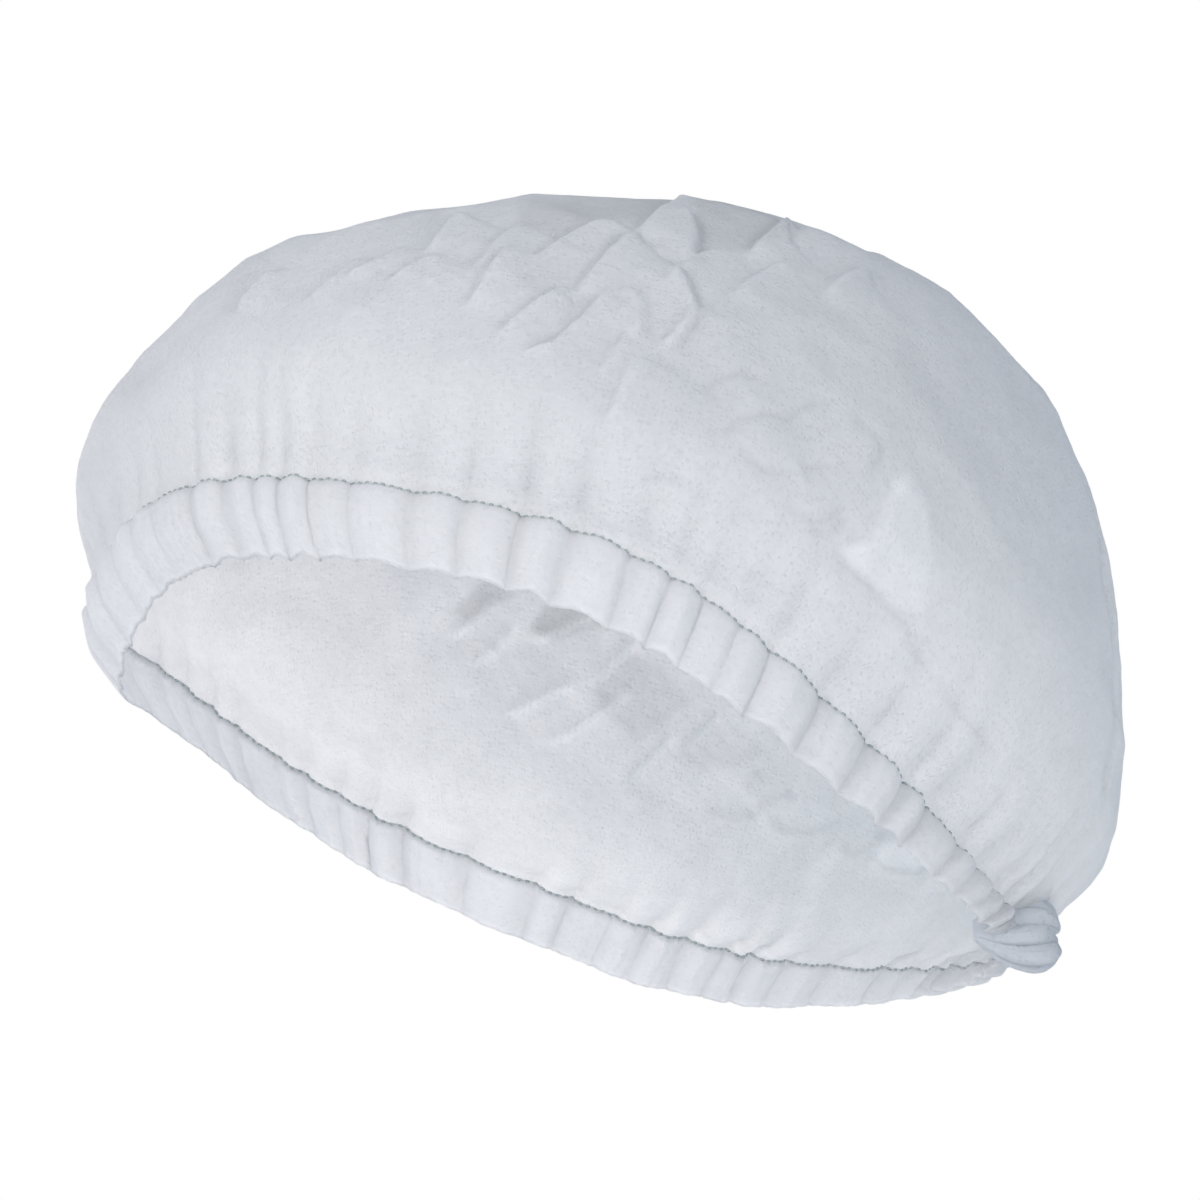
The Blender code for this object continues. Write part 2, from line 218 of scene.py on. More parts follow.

# Kinds of fold in the crown. wall says whether a fold is seen on the near wall's outside or the far wall's inside.
# left and right are how far, in mm, the cloth comes towards whoever sees it on each hand of the fold's path, and
# reach_left and reach_right how far from it, in mm, that dies away. edge is the painted highlight on the doubled
# cloth at the fold, and groove the painted shade on the cloth that the fold shades, both in layers of cloth.
FoldKind = namedtuple("FoldKind", "wall left right reach_left reach_right edge groove")
PLEAT = FoldKind(wall="outer", left=-1.1, right=2.3, reach_left=3.5, reach_right=7.0, edge=1.7, groove=1.2)
SOFT_PLEAT = FoldKind(wall="outer", left=-0.8, right=1.4, reach_left=3.5, reach_right=6.0, edge=1.2, groove=0.7)
WRINKLE = FoldKind(wall="outer", left=-1.1, right=-1.2, reach_left=1.8, reach_right=2.6, edge=0.0, groove=1.0)
INNER_PLEAT = FoldKind(wall="inner", left=-1.1, right=2.0, reach_left=3.5, reach_right=6.0, edge=2.2, groove=1.0)
INNER_WRINKLE = FoldKind(wall="inner", left=-1.1, right=-1.1, reach_left=1.8, reach_right=2.4, edge=0.0, groove=1.0)
FLAP_DENT = FoldKind(wall="outer", left=-2.6, right=-2.4, reach_left=10.0, reach_right=4.5, edge=0.0, groove=1.2)
FLAP_EDGE = FoldKind(wall="outer", left=-0.5, right=1.4, reach_left=5.0, reach_right=9.0, edge=0.4, groove=0.2)
INNER_DENT = FoldKind(wall="inner", left=-1.8, right=-1.8, reach_left=5.0, reach_right=2.5, edge=0.0, groove=1.3)
FoldGroup = namedtuple("FoldGroup", "kind paths")
# Folds that the photograph shows, with their paths in its pixels
CREASES = (
    FoldGroup(PLEAT, (
        ((494, 336), (501, 330), (530, 310), (559, 291), (582, 290)),
        ((516, 354), (535, 348), (551, 344), (580, 319), (601, 298), (618, 290)),
        ((572, 296), (594, 269), (616, 248), (634, 235), (646, 236)),
        ((528, 260), (551, 248), (573, 234), (601, 226), (636, 228)),
        ((630, 238), (651, 219), (673, 205), (690, 199)),
        ((462, 309), (487, 276), (501, 257), (512, 245)),
        ((422, 250), (441, 226), (455, 215), (476, 210)),
        ((232, 312), (246, 296), (262, 280), (286, 268)),
        ((748, 252), (760, 240), (780, 232), (800, 242)),
        ((667, 254), (682, 278), (695, 304), (690, 326), (676, 342), (660, 352)),
        ((686, 211), (697, 230), (692, 250), (674, 263)),
    )),
    FoldGroup(SOFT_PLEAT, (
        ((468, 272), (487, 251), (501, 234), (516, 223), (536, 217)),
        ((345, 279), (352, 270), (369, 262), (394, 247), (405, 238)),
        ((386, 280), (406, 267), (426, 257), (440, 250)),
        ((300, 300), (322, 282), (345, 262), (362, 250)),
        ((654, 350), (662, 344), (680, 330), (691, 312), (694, 300)),
        ((664, 292), (676, 272), (690, 254), (712, 246), (750, 248)),
        ((728, 300), (751, 276), (776, 262), (800, 262)),
        ((596, 376), (612, 352), (628, 332), (640, 318)),
        ((600, 430), (616, 402), (626, 376), (636, 352)),
        ((820, 300), (836, 282), (858, 274), (876, 282)),
        ((620, 289), (638, 296), (645, 318), (638, 338)),
    )),
    FoldGroup(WRINKLE, (
        ((704, 424), (726, 430), (740, 419), (769, 414), (790, 416), (808, 405), (833, 403), (849, 401)),
        ((734, 434), (747, 455), (765, 469), (783, 472), (804, 471)),
        ((802, 471), (819, 463), (838, 466)),
        ((848, 414), (868, 428), (882, 452), (868, 470)),
        ((784, 500), (804, 516), (826, 519), (842, 509), (856, 500)),
        ((806, 529), (829, 532), (842, 523), (857, 508)),
        ((930, 676), (952, 704), (976, 730), (1004, 762)),
        ((640, 480), (664, 478), (690, 486)),
        ((700, 396), (716, 380), (742, 372), (770, 378)),
    )),
    FoldGroup(FLAP_DENT, (
        ((828, 528), (838, 553), (852, 570), (869, 583), (890, 605), (908, 624), (914, 646), (926, 666),
         (936, 690)),
    )),
    FoldGroup(FLAP_EDGE, (
        ((842, 546), (866, 541), (880, 524), (888, 500), (898, 481), (912, 470)),
    )),
    FoldGroup(INNER_PLEAT, (
        ((496, 722), (512, 713), (530, 705), (555, 692), (578, 683)),
        ((528, 744), (555, 740), (580, 725), (600, 712), (618, 700), (634, 684)),
        ((586, 690), (605, 670), (625, 652), (640, 640)),
        ((524, 644), (555, 632), (580, 621), (600, 612)),
        ((466, 668), (487, 655), (505, 640), (517, 622)),
        ((440, 640), (462, 630), (480, 614), (500, 598)),
        ((676, 756), (697, 735), (710, 722), (722, 712)),
        ((624, 790), (640, 768), (660, 748), (676, 730)),
    )),
    FoldGroup(INNER_WRINKLE, (
        ((700, 808), (717, 812), (737, 816), (762, 812)),
        ((752, 808), (775, 797), (792, 790)),
        ((762, 812), (775, 827), (800, 834), (822, 829), (842, 823)),
        ((832, 849), (855, 855), (870, 845), (886, 829)),
        ((738, 792), (748, 780), (758, 768)),
        ((932, 872), (946, 882), (960, 894), (975, 902)),
    )),
    FoldGroup(INNER_DENT, (
        ((876, 860), (886, 868), (910, 871), (930, 865)),
    )),
)
# Painted highlights, where the cloth lies double and catches the light, and painted shadows between folds: outline in
# pixels of the photograph, how much brighter it is there in layers of cloth, and how soft its rim is in pixels
PaintedLightPatch = namedtuple("PaintedLightPatch", "wall gain soft path")
PAINTED_LIGHT_PATCHES = (
    PaintedLightPatch(wall="outer", gain=1.3, soft=5.0, path=(
        (911, 472), (926, 500), (930, 560), (925, 612), (900, 604), (868, 574), (843, 548), (869, 541),
        (881, 524), (889, 500), (898, 481))),
    PaintedLightPatch(wall="outer", gain=0.5, soft=4.0, path=(
        (862, 420), (880, 440), (878, 462), (864, 466), (854, 440))),
    PaintedLightPatch(wall="outer", gain=1.2, soft=3.0, path=(
        (894, 500), (892, 484), (902, 473), (912, 478), (908, 494))),
    PaintedLightPatch(wall="outer", gain=0.7, soft=3.0, path=(
        (846, 548), (868, 538), (872, 560), (866, 578), (852, 566))),
    PaintedLightPatch(wall="outer", gain=-2.0, soft=9.0, path=(
        (560, 236), (600, 222), (640, 222), (690, 196), (650, 192), (580, 196), (520, 206), (515, 226))),
    PaintedLightPatch(wall="outer", gain=-2.1, soft=9.0, path=(
        (690, 204), (700, 240), (745, 244), (800, 236), (760, 212), (720, 200))),
    PaintedLightPatch(wall="outer", gain=-0.7, soft=5.0, path=(
        (500, 262), (520, 288), (560, 286), (590, 252), (560, 244), (530, 250))),
    PaintedLightPatch(wall="outer", gain=-0.5, soft=5.0, path=(
        (508, 336), (560, 296), (600, 296), (552, 340), (524, 350))),
    PaintedLightPatch(wall="outer", gain=-0.8, soft=6.0, path=(
        (236, 318), (262, 286), (290, 268), (270, 262), (238, 282), (222, 306))),
    PaintedLightPatch(wall="inner", gain=2.0, soft=2.5, path=(
        (884, 843), (900, 844), (926, 855), (928, 863), (912, 867), (886, 866), (877, 856))),
    PaintedLightPatch(wall="inner", gain=0.7, soft=3.0, path=(
        (772, 812), (798, 799), (824, 806), (836, 818), (810, 828), (784, 826))),
    PaintedLightPatch(wall="inner", gain=-2.4, soft=5.0, path=((486, 578), (516, 594), (472, 626), (452, 612))),
    PaintedLightPatch(wall="inner", gain=-3.4, soft=5.0, path=(
        (548, 600), (598, 612), (612, 624), (550, 642), (530, 630))),
    PaintedLightPatch(wall="inner", gain=-1.8, soft=6.0, path=(
        (592, 690), (626, 654), (652, 660), (690, 700), (640, 742), (600, 712))),
    PaintedLightPatch(wall="inner", gain=-1.2, soft=6.0, path=(
        (676, 756), (722, 712), (764, 750), (738, 768), (700, 770))),
    PaintedLightPatch(wall="inner", gain=-0.6, soft=5.0, path=(
        (520, 690), (556, 640), (604, 628), (588, 684), (540, 698), (500, 712))),
)
# Folds on the sides that the photograph doesn't show. Their paths are turns from the front round the near side, and
# shares of the way from the seam up to the top.
HIDDEN_PLEAT = FoldKind(wall="outer", left=-1.0, right=2.0, reach_left=3.0, reach_right=8.0, edge=1.0, groove=1.0)
HIDDEN_SOFT = FoldKind(wall="outer", left=-0.6, right=0.9, reach_left=4.0, reach_right=9.0, edge=0.8, groove=0.6)
HIDDEN_DENT = FoldKind(wall="outer", left=-2.0, right=-2.0, reach_left=8.0, reach_right=4.0, edge=0.0, groove=1.0)
HIDDEN_WRINKLE = FoldKind(wall="outer", left=-1.0, right=-1.0, reach_left=2.0, reach_right=3.0, edge=0.0, groove=1.0)
HIDDEN_FOLDS = (
    FoldGroup(HIDDEN_SOFT, (
        ((0.47, 0.10), (0.465, 0.30), (0.45, 0.52)),
        ((0.515, 0.08), (0.52, 0.26), (0.53, 0.44)),
        ((0.555, 0.12), (0.565, 0.34), (0.57, 0.58)),
    )),
    FoldGroup(HIDDEN_PLEAT, (
        ((0.42, 0.66), (0.47, 0.74), (0.53, 0.76)),
        ((0.20, 0.80), (0.20, 0.93), (0.72, 0.90)),
        ((0.27, 0.76), (0.36, 0.90), (0.64, 0.84)),
        ((0.31, 0.66), (0.40, 0.82), (0.58, 0.78)),
        ((0.14, 0.84), (0.10, 0.93), (0.86, 0.84)),
        ((0.10, 0.74), (0.02, 0.84), (0.90, 0.76)),
        ((0.06, 0.62), (0.98, 0.68), (0.93, 0.64)),
        ((0.80, 0.58), (0.77, 0.70), (0.74, 0.82)),
        ((0.84, 0.56), (0.82, 0.68), (0.80, 0.80)),
        ((0.88, 0.54), (0.865, 0.66), (0.86, 0.78)),
        ((0.92, 0.50), (0.915, 0.60), (0.92, 0.72)),
    )),
    FoldGroup(HIDDEN_DENT, (
        ((0.66, 0.62), (0.63, 0.46), (0.60, 0.34)),
    )),
    FoldGroup(HIDDEN_WRINKLE, (
        ((0.70, 0.66), (0.67, 0.70), (0.63, 0.68)),
        ((0.72, 0.56), (0.69, 0.60), (0.66, 0.57)),
    )),
)
# Swellings of the near wall, at pixels of the photograph, with height and reach in mm
Swelling = namedtuple("Swelling", "x y height reach")
SWELLINGS = [Swelling(*row) for row in (
    (236, 272, 2.0, 17.0),
    (292, 250, 0.9, 17.0),
    (100, 440, 2.4, 16.0),
    (74, 505, 3.0, 15.0),
    (150, 358, -2.0, 9.0),
    (740, 212, 0.5, 20.0),
    (820, 236, 2.1, 24.0),
    (950, 310, 2.0, 24.0),
    (1030, 382, 0.4, 24.0),
    (1080, 470, 0.8, 22.0),
    (866, 444, 1.2, 7.0),
    (770, 440, 0.9, 7.0),
    (1108, 700, 0.8, 16.0),
)]
# Broad unevenness of the crown: height and length of its waves, in mm
Unevenness = namedtuple("Unevenness", "height length")
UNEVEN = (
    Unevenness(height=1.5, length=46.0),
    Unevenness(height=0.7, length=21.0),
    Unevenness(height=0.16, length=6.5),
)
# Rounded ridges of noise: where it starts, and the mean and height that level them about the smooth crown
UNEVEN_SEED = Vector((3.1, 7.7, 1.3))
UNEVEN_MEAN = 0.38
UNEVEN_RIDGE = 2.0


def smooth_step(low, high, value):
    share = np.clip((value - low) / (high - low), 0.0, 1.0)
    return share * share * (3.0 - 2.0 * share)


def bell(value, middle, width):
    return np.exp(-((value - middle) / width) ** 2)


def waves(rows, place):
    return sum(row.size * np.sin(row.rate * place + row.phase) for row in rows)


def blurred(values, width, closed=False):
    """Gaussian average of an array along its first axis, width in samples."""
    reach = int(BLUR_CUT * width) + 1
    weights = np.exp(-0.5 * (np.arange(-reach, reach + 1) / width) ** 2)
    weights /= weights.sum()
    ends = "wrap" if closed else "edge"
    padded = np.pad(values, [(reach, reach)] + [(0, 0)] * (values.ndim - 1), mode=ends)
    return sum(weight * padded[k:k + len(values)] for k, weight in enumerate(weights))


LIFT_TURNS = np.linspace(0.0, 1.0, LIFT_SAMPLES)
LIFT_CURVE = np.interp(np.minimum(LIFT_TURNS, 1.0 - LIFT_TURNS), *zip(*EDGE_ROWS))[:-1]
LIFT_CURVE = blurred(LIFT_CURVE, LIFT_BLUR, closed=True)
LIFT_CURVE = np.append(LIFT_CURVE, LIFT_CURVE[0])


def ring_points(height, front, back, side, turn):
    """Points of rings in the upright frame. All five may be arrays."""
    angle = tau * turn
    lead = np.cos(angle)
    behind = np.maximum(0.0, -lead)
    reach = np.where(lead > 0, front, back)
    climb = np.maximum(0.0, height - BAND_HEIGHT) / (CROWN_HEIGHT - BAND_HEIGHT)
    fade = (1.0 - climb) ** 2
    lift = EDGE_LIFT * np.interp(turn % 1.0, LIFT_TURNS, LIFT_CURVE) * fade
    pinch = BACK_PINCH * behind ** PINCH_POWER * np.minimum(height, BAND_HEIGHT) * fade
    lean = CROWN_LEAN * np.maximum(0.0, lead) * LEAN_PEAK * climb * fade
    width = side * np.sin(angle) * (1.0 - BACK_POINT * behind ** 2 * fade)
    return np.stack(np.broadcast_arrays(-reach * lead, -width, height + lift - pinch + lean), -1)


def ring_table():
    """Height, front, back and side of each ring of the crown."""
    seam = (RIM_LENGTH / 2 + FRONT_FLARE, RIM_LENGTH / 2 + BACK_FLARE, RIM_WIDTH / 2 + SIDE_FLARE)
    full = (CROWN_LENGTH / 2 + CROWN_FORWARD, CROWN_LENGTH / 2 - CROWN_FORWARD, CROWN_WIDTH / 2)
    full_height = BAND_HEIGHT + (CROWN_HEIGHT - BAND_HEIGHT) * FULLEST_AT
    rows = []
    for row in RING_ROWS:
        if row.kind == 0:
            height = BAND_HEIGHT + (full_height - BAND_HEIGHT) * row.rise
            reach = [low + (high - low) * share for low, high, share in zip(seam, full, row[2:])]
        else:
            height = full_height + (CROWN_HEIGHT - full_height) * row.rise
            reach = [high * share for high, share in zip(full, row[2:])]
        rows.append((height, *reach))
    return np.array(rows)


def smooth_crown(turns, rows):
    """The crown without folds: points by row and column, and each point's way along the cloth from the seam."""
    rings = ring_table()
    places = np.linspace(0, len(rings) - 1, (len(rings) - 1) * RING_STEPS + 1)
    rings = [np.interp(places, np.arange(len(rings)), rings[:, k])[:, None] for k in range(4)]
    walls = ring_points(*rings, turns[None, :])
    height = rings[0][-1, 0]
    share = np.linspace(1.0, 0.0, DOME_STEPS)[1:, None]
    place = -share * np.cos(tau * turns)[None, :]
    dome = np.empty((len(share), len(turns), 3))
    dome[..., :2] = walls[-1][None, :, :2] * share[..., None]
    dome[..., 2] = height + (walls[-1][None, :, 2] - height) * share ** 2
    dome[..., 2] += (CROWN_HEIGHT - height) * (1.0 - share ** 2) * (1.0 + TOP_BACK_SET * place)
    path = np.concatenate([walls, dome])
    steps = np.linalg.norm(np.diff(path, axis=0), axis=-1)
    along = np.concatenate([np.zeros((1, len(turns))), np.cumsum(steps, axis=0)])
    shares = np.linspace(0.0, 1.0, rows)
    even = np.empty((rows, len(turns), 3))
    for column in range(len(turns)):
        for k in range(3):
            even[:, column, k] = np.interp(shares * along[-1, column], along[:, column], path[:, column, k])
    soft = blurred(even, rows * CROWN_BLUR)
    keep = smooth_step(*BLUR_IN, shares) * (1.0 - smooth_step(*BLUR_OUT, shares))
    even += (soft - even) * keep[:, None, None]
    return even, shares[:, None] * along[-1][None, :]


def grid_normals(points):
    """Outward normals of a grid that closes round its columns."""
    across = np.roll(points, -1, axis=1) - np.roll(points, 1, axis=1)
    up = np.gradient(points, axis=0)
    normals = np.cross(across, up)
    length = np.linalg.norm(normals, axis=-1, keepdims=True)
    normals = np.where(length > NO_AREA, normals / np.maximum(length, NO_AREA), (0.0, 0.0, 1.0))
    third = len(points) // 3
    if np.sum(normals[third] * (points[third] - CROWN_MIDDLE)) < 0:
        normals = -normals
    return normals


def gather_wave(turns):
    """Ruffles round the rim: round ridges between narrow valleys, unlike in width and height, from -1 to 1."""
    place = GATHERS * turns + waves(GATHER_DRIFT, turns)
    number = np.floor(place)
    share = place - number
    height = GATHER_SIZE + waves(GATHER_SIZES, number)
    valley = np.abs(2.0 * share ** GATHER_LEAN - 1.0)
    from_front = np.minimum(turns % 1.0, 1.0 - turns % 1.0)
    calm = FRONT_GATHERS + (1.0 - FRONT_GATHERS) * smooth_step(*FRONT_SPAN, from_front)
    calm *= 1.0 - (1.0 - BACK_GATHERS) * smooth_step(*BACK_SPAN, from_front)
    return calm * height * (1.0 - 2.0 * valley ** GATHER_VALLEY)


def lean_back(points):
    """From the upright frame to the worn one."""
    turn = np.array(Matrix.Rotation(WEAR_TILT, 3, "Y"))
    return points @ turn.T


def make_mesh(name, points, faces, smooth=True):
    mesh = bpy.data.meshes.new(name)
    mesh.from_pydata(points.tolist(), [], faces)
    if smooth:
        mesh.shade_smooth()
    item = bpy.data.objects.new(name, mesh)
    bpy.context.scene.collection.objects.link(item)
    return item


def ring_faces(rows, columns):
    """Quads of a grid that closes round its columns, numbered row by row."""
    row, column = np.meshgrid(np.arange(rows - 1), np.arange(columns), indexing="ij")
    right = (column + 1) % columns
    faces = np.stack([row * columns + column, row * columns + right, (row + 1) * columns + right,
                      (row + 1) * columns + column], -1)
    return faces.reshape(-1, 4).tolist()


def add_flat_map(item, flat):
    """A metric map of the cloth as it was cut, for the emboss."""
    layer = item.data.uv_layers.new(name="cut_cloth")
    corners = np.empty(len(item.data.loops), dtype=np.int64)
    item.data.loops.foreach_get("vertex_index", corners)
    layer.data.foreach_set("uv", flat[corners].astype(np.float32).ravel())


def set_layers_and_painted_light(item, values):
    """How much brighter than single cloth each point is, in layers, from doubled cloth and painted light and shade.
    """
    layers = item.data.attributes.new("layers", "FLOAT", "POINT")
    layers.data.foreach_set("value", np.ravel(values).astype(np.float32))


def photo_pixels(points):
    """Where points of the worn frame lie on the photograph, in its pixels."""
    back = np.array((CAMERA_PLACE - CAMERA_AIM).normalized())
    right = np.cross((0.0, 0.0, 1.0), back)
    right /= np.linalg.norm(right)
    up = np.cross(back, right)
    away = points - np.array(CAMERA_PLACE)
    scale = CAMERA_LENS / CAMERA_SENSOR * PHOTO_SIZE / -(away @ back)
    return np.stack([PHOTO_SIZE / 2 + (away @ right) * scale, PHOTO_SIZE / 2 - (away @ up) * scale], -1)


def smooth_path(path, step):
    """Points a step apart along a Catmull-Rom curve through a path."""
    path = np.array(path, float)
    ends = np.vstack([2 * path[0] - path[1], path, 2 * path[-1] - path[-2]])
    points = []
    for a, b, c, d in zip(ends, ends[1:], ends[2:], ends[3:]):
        count = max(1, int(round(np.linalg.norm(c - b) / step)))
        for share in np.arange(count) / count:
            bend = 2 * a - 5 * b + 4 * c - d + share * (3 * (b - c) + d - a)
            points.append(b + 0.5 * share * (c - a + share * bend))
    points.append(path[-1])
    return np.array(points)


class Folds:
    """The crown's smooth surface, on which creases, swellings and painted highlights and shade are placed."""

    def __init__(self, base, normals):
        self.rows, self.columns = base.shape[:2]
        self.points = lean_back(base.reshape(-1, 3))
        self.normals = lean_back(normals.reshape(-1, 3))
        self.pixels = photo_pixels(self.points)
        to_camera = np.array(CAMERA_PLACE) - self.points
        self.faces_camera = np.sum(to_camera * self.normals, axis=-1) > 0
        self.raised = np.zeros(len(self.points))
        self.layers = np.zeros(len(self.points))

    def on_surface(self, wall, pixel):
        """The point and normal of a wall under a pixel, from the grid points next to it."""
        choice = np.flatnonzero(self.faces_camera == (wall == "outer"))
        away = np.sum((self.pixels[choice] - pixel) ** 2, axis=-1)
        near = np.argpartition(away, NEAREST)[:NEAREST]
        weight = 1.0 / (away[near] + NEAR_SOFTENING)
        weight /= weight.sum()
        return weight @ self.points[choice[near]], weight @ self.normals[choice[near]]

    def on_grid(self, turn, share):
        """The grid point at a turn from the front and a share of the way up."""
        row = int(round(share * (self.rows - 1)))
        return self.points[row * self.columns + int(round(turn * self.columns)) % self.columns]

    def crease(self, spine, normals, kind):
        """Bends the cloth along a spine, and paints a highlight on its edge and shade in its groove there."""
        facing = 1.0 if kind.wall == "outer" else -1.0
        reach = FOLD_CUT * max(kind.reach_left, kind.reach_right) * MM
        low, high = spine.min(axis=0) - reach, spine.max(axis=0) + reach
        near = np.flatnonzero(np.all((self.points > low) & (self.points < high), axis=1))
        here = self.points[near]
        best = np.full(len(near), np.inf)
        side = np.zeros(len(near))
        along = np.zeros(len(near))
        lengths = np.concatenate([[0.0], np.cumsum(np.linalg.norm(np.diff(spine, axis=0), axis=1))])
        for k in range(len(spine) - 1):
            run = spine[k + 1] - spine[k]
            length = np.linalg.norm(run)
            if length < TINY:
                continue
            share = np.clip((here - spine[k]) @ run / length ** 2, 0.0, 1.0)
            gap = here - spine[k] - share[:, None] * run
            away = np.linalg.norm(gap, axis=1)
            hand = gap @ np.cross(facing * normals[k], run / length)
            closer = away < best
            best[closer] = away[closer]
            side[closer] = hand[closer]
            along[closer] = (lengths[k] + share * length)[closer] / lengths[-1]
        same_wall = self.normals[near] @ normals.mean(axis=0) > FOLD_ALIKE
        taper = smooth_step(0.0, FOLD_TAPER, along) * smooth_step(0.0, FOLD_TAPER, 1.0 - along)
        beyond = np.sqrt(np.maximum(0.0, best ** 2 - side ** 2))
        taper = taper * np.exp(-(beyond / (FOLD_END * MM)) ** 2) * same_wall
        hand = 0.5 + 0.5 * np.tanh(side / (FOLD_TURN * MM))
        rise_left = kind.left * np.exp(-best / (kind.reach_left * MM))
        rise_right = kind.right * np.exp(-best / (kind.reach_right * MM))
        self.raised[near] += facing * taper * MM * (hand * rise_left + (1.0 - hand) * rise_right)
        # The fold's edge gets a painted highlight and its groove painted shade
        beside = min(kind.edge, 1.0)
        painted_edge_highlight = kind.edge * bell(side / MM, EDGE_PLACE, EDGE_WIDTH)
        painted_groove_shade = kind.groove * bell(side / MM, GROOVE_PLACE * beside, GROOVE_WIDTH + GROOVE_SPREAD * beside)
        self.layers[near] += taper * (painted_edge_highlight - painted_groove_shade)

    def add_photo_crease(self, kind, path):
        places = [self.on_surface(kind.wall, mark) for mark in smooth_path(path, PATH_STEP)]
        spine, normals = (np.array(values) for values in zip(*places))
        self.crease(spine, normals, kind)

    def add_hidden_fold(self, kind, path):
        spine = smooth_path([self.on_grid(*mark) for mark in path], HIDDEN_STEP)
        numbers = [int(np.argmin(np.sum((self.points - place) ** 2, axis=1))) for place in spine]
        self.crease(self.points[numbers], self.normals[numbers], kind)

    def add_swelling(self, row):
        place, normal = self.on_surface("outer", (row.x, row.y))
        away = np.linalg.norm(self.points - place, axis=1)
        same_wall = smooth_step(*SWELLING_ALIKE, self.normals @ normal)
        self.raised += row.height * MM * same_wall * bell(away, 0.0, row.reach * MM)

    def add_painted_light_patch(self, row):
        """Paints a highlight, or shade for a negative gain, on the part of a wall inside an outline, with a soft rim.
        """
        corners = np.array(row.path, float)
        choice = np.flatnonzero(self.faces_camera == (row.wall == "outer"))
        here = self.pixels[choice]
        inside = np.zeros(len(here), dtype=bool)
        rim = np.full(len(here), np.inf)
        for a, b in zip(corners, np.roll(corners, -1, axis=0)):
            run = b - a
            crosses = (a[1] > here[:, 1]) != (b[1] > here[:, 1])
            level = run[1] if run[1] else TINY
            inside ^= crosses & (here[:, 0] < a[0] + run[0] * (here[:, 1] - a[1]) / level)
            share = np.clip((here - a) @ run / (run @ run), 0.0, 1.0)
            rim = np.minimum(rim, np.linalg.norm(here - a - share[:, None] * run, axis=1))
        depth = np.where(inside, rim, -rim)
        self.layers[choice] += row.gain * smooth_step(-row.soft, row.soft, depth)

    def add_unevenness(self):
        for row in UNEVEN:
            scale = 1.0 / (row.length * MM)
            for k, place in enumerate(self.points):
                value = noise.noise(Vector(place) * scale + UNEVEN_SEED)
                self.raised[k] += row.height * MM * (UNEVEN_MEAN - UNEVEN_RIDGE * abs(value))


def make_crown():
    turns = np.arange(CROWN_COLUMNS) / CROWN_COLUMNS
    base, along = smooth_crown(turns, CROWN_ROWS)
    normals = grid_normals(base)
    folds = Folds(base, normals)
    folds.add_unevenness()
    for row in SWELLINGS:
        folds.add_swelling(row)
    for group in HIDDEN_FOLDS:
        for path in group.paths:
            folds.add_hidden_fold(group.kind, path)
    for group in CREASES:
        for path in group.paths:
            folds.add_photo_crease(group.kind, path)
    for row in PAINTED_LIGHT_PATCHES:
        folds.add_painted_light_patch(row)
    wave = gather_wave(turns)[None, :]
    fade = np.exp(-(along / GATHER_REACH) ** GATHER_FADE)
    raised = folds.raised.reshape(along.shape) * smooth_step(0.0, FOLDS_BEGIN, along)
    raised += SEAM_RUFFLE * wave * (1.0 + SEAM_SWELL * smooth_step(0.0, SEAM_SWELL_REACH, along)) * fade
    raised -= SEAM_PINCH * np.exp(-along / PINCH_REACH)
    points = base + raised[..., None] * normals
    middle = SEAM_RUFFLE * wave - SEAM_PINCH
    tucked = [hem_points(turns[None, :], np.full((1, CROWN_COLUMNS), share), middle) for share in TUCKED_SHARES]
    points = np.concatenate([*tucked, points])
    rows = len(points) - 1
    top = points[-1].mean(axis=0)
    faces = ring_faces(rows, CROWN_COLUMNS)
    last = (rows - 1) * CROWN_COLUMNS
    faces += [(last + k, last + (k + 1) % CROWN_COLUMNS, rows * CROWN_COLUMNS) for k in range(CROWN_COLUMNS)]
    crown = make_mesh("crown_cloth", lean_back(np.vstack([points[:-1].reshape(-1, 3), top])), faces)
    # Painted highlight on the gathers' ridges and painted shade in their valleys, above the seam
    layers = folds.layers.reshape(along.shape) + CROWN_RIDGE_PAINTED_LIGHT * np.minimum(wave, CROWN_PAINTED_LIGHT_TOP) * fade
    layers = layers.ravel()
    tucked = np.zeros(len(TUCKED_SHARES) * CROWN_COLUMNS)
    set_layers_and_painted_light(crown, np.concatenate([tucked, layers[:-CROWN_COLUMNS], layers[-1:]]))
    length = along[-1][None, :] - along[:-1]
    length = np.concatenate([*(length[:1] + more for more in TUCKED_LENGTHS), length])
    angle = tau * turns[None, :]
    flat = np.stack([-length * np.cos(angle), -length * np.sin(angle)], -1).reshape(-1, 2)
    add_flat_map(crown, np.vstack([flat, (0.0, 0.0)]))
    return crown


def hem_points(turn, share, out):
    """Points of the hem: share is 0 at the free edge and 1 at the stitches, out the distance outward."""
    swell = np.interp(share, *HEM_SWELL)
    half = RIM_LENGTH / 2
    ring = (BAND_HEIGHT * share, half + FRONT_FLARE * swell, half + BACK_FLARE * swell,
            RIM_WIDTH / 2 + SIDE_FLARE * swell)
    points = ring_points(*ring, turn)
    ahead = ring_points(*ring, turn + TURN_STEP) - ring_points(*ring, turn - TURN_STEP)
    level = np.stack([ahead[..., 1], -ahead[..., 0], np.zeros_like(ahead[..., 0])], -1)
    level /= np.linalg.norm(level, axis=-1, keepdims=True)
    flip = np.sign(np.sum(level * points * (1.0, 1.0, 0.0), axis=-1, keepdims=True))
    return points + level * flip * out[..., None]


def hem_wave(turn, share):
    """The hem's gathers, which sway a little towards its free edge."""
    return gather_wave(turn + waves([HEM_SWAY], turn) * (1.0 - share))


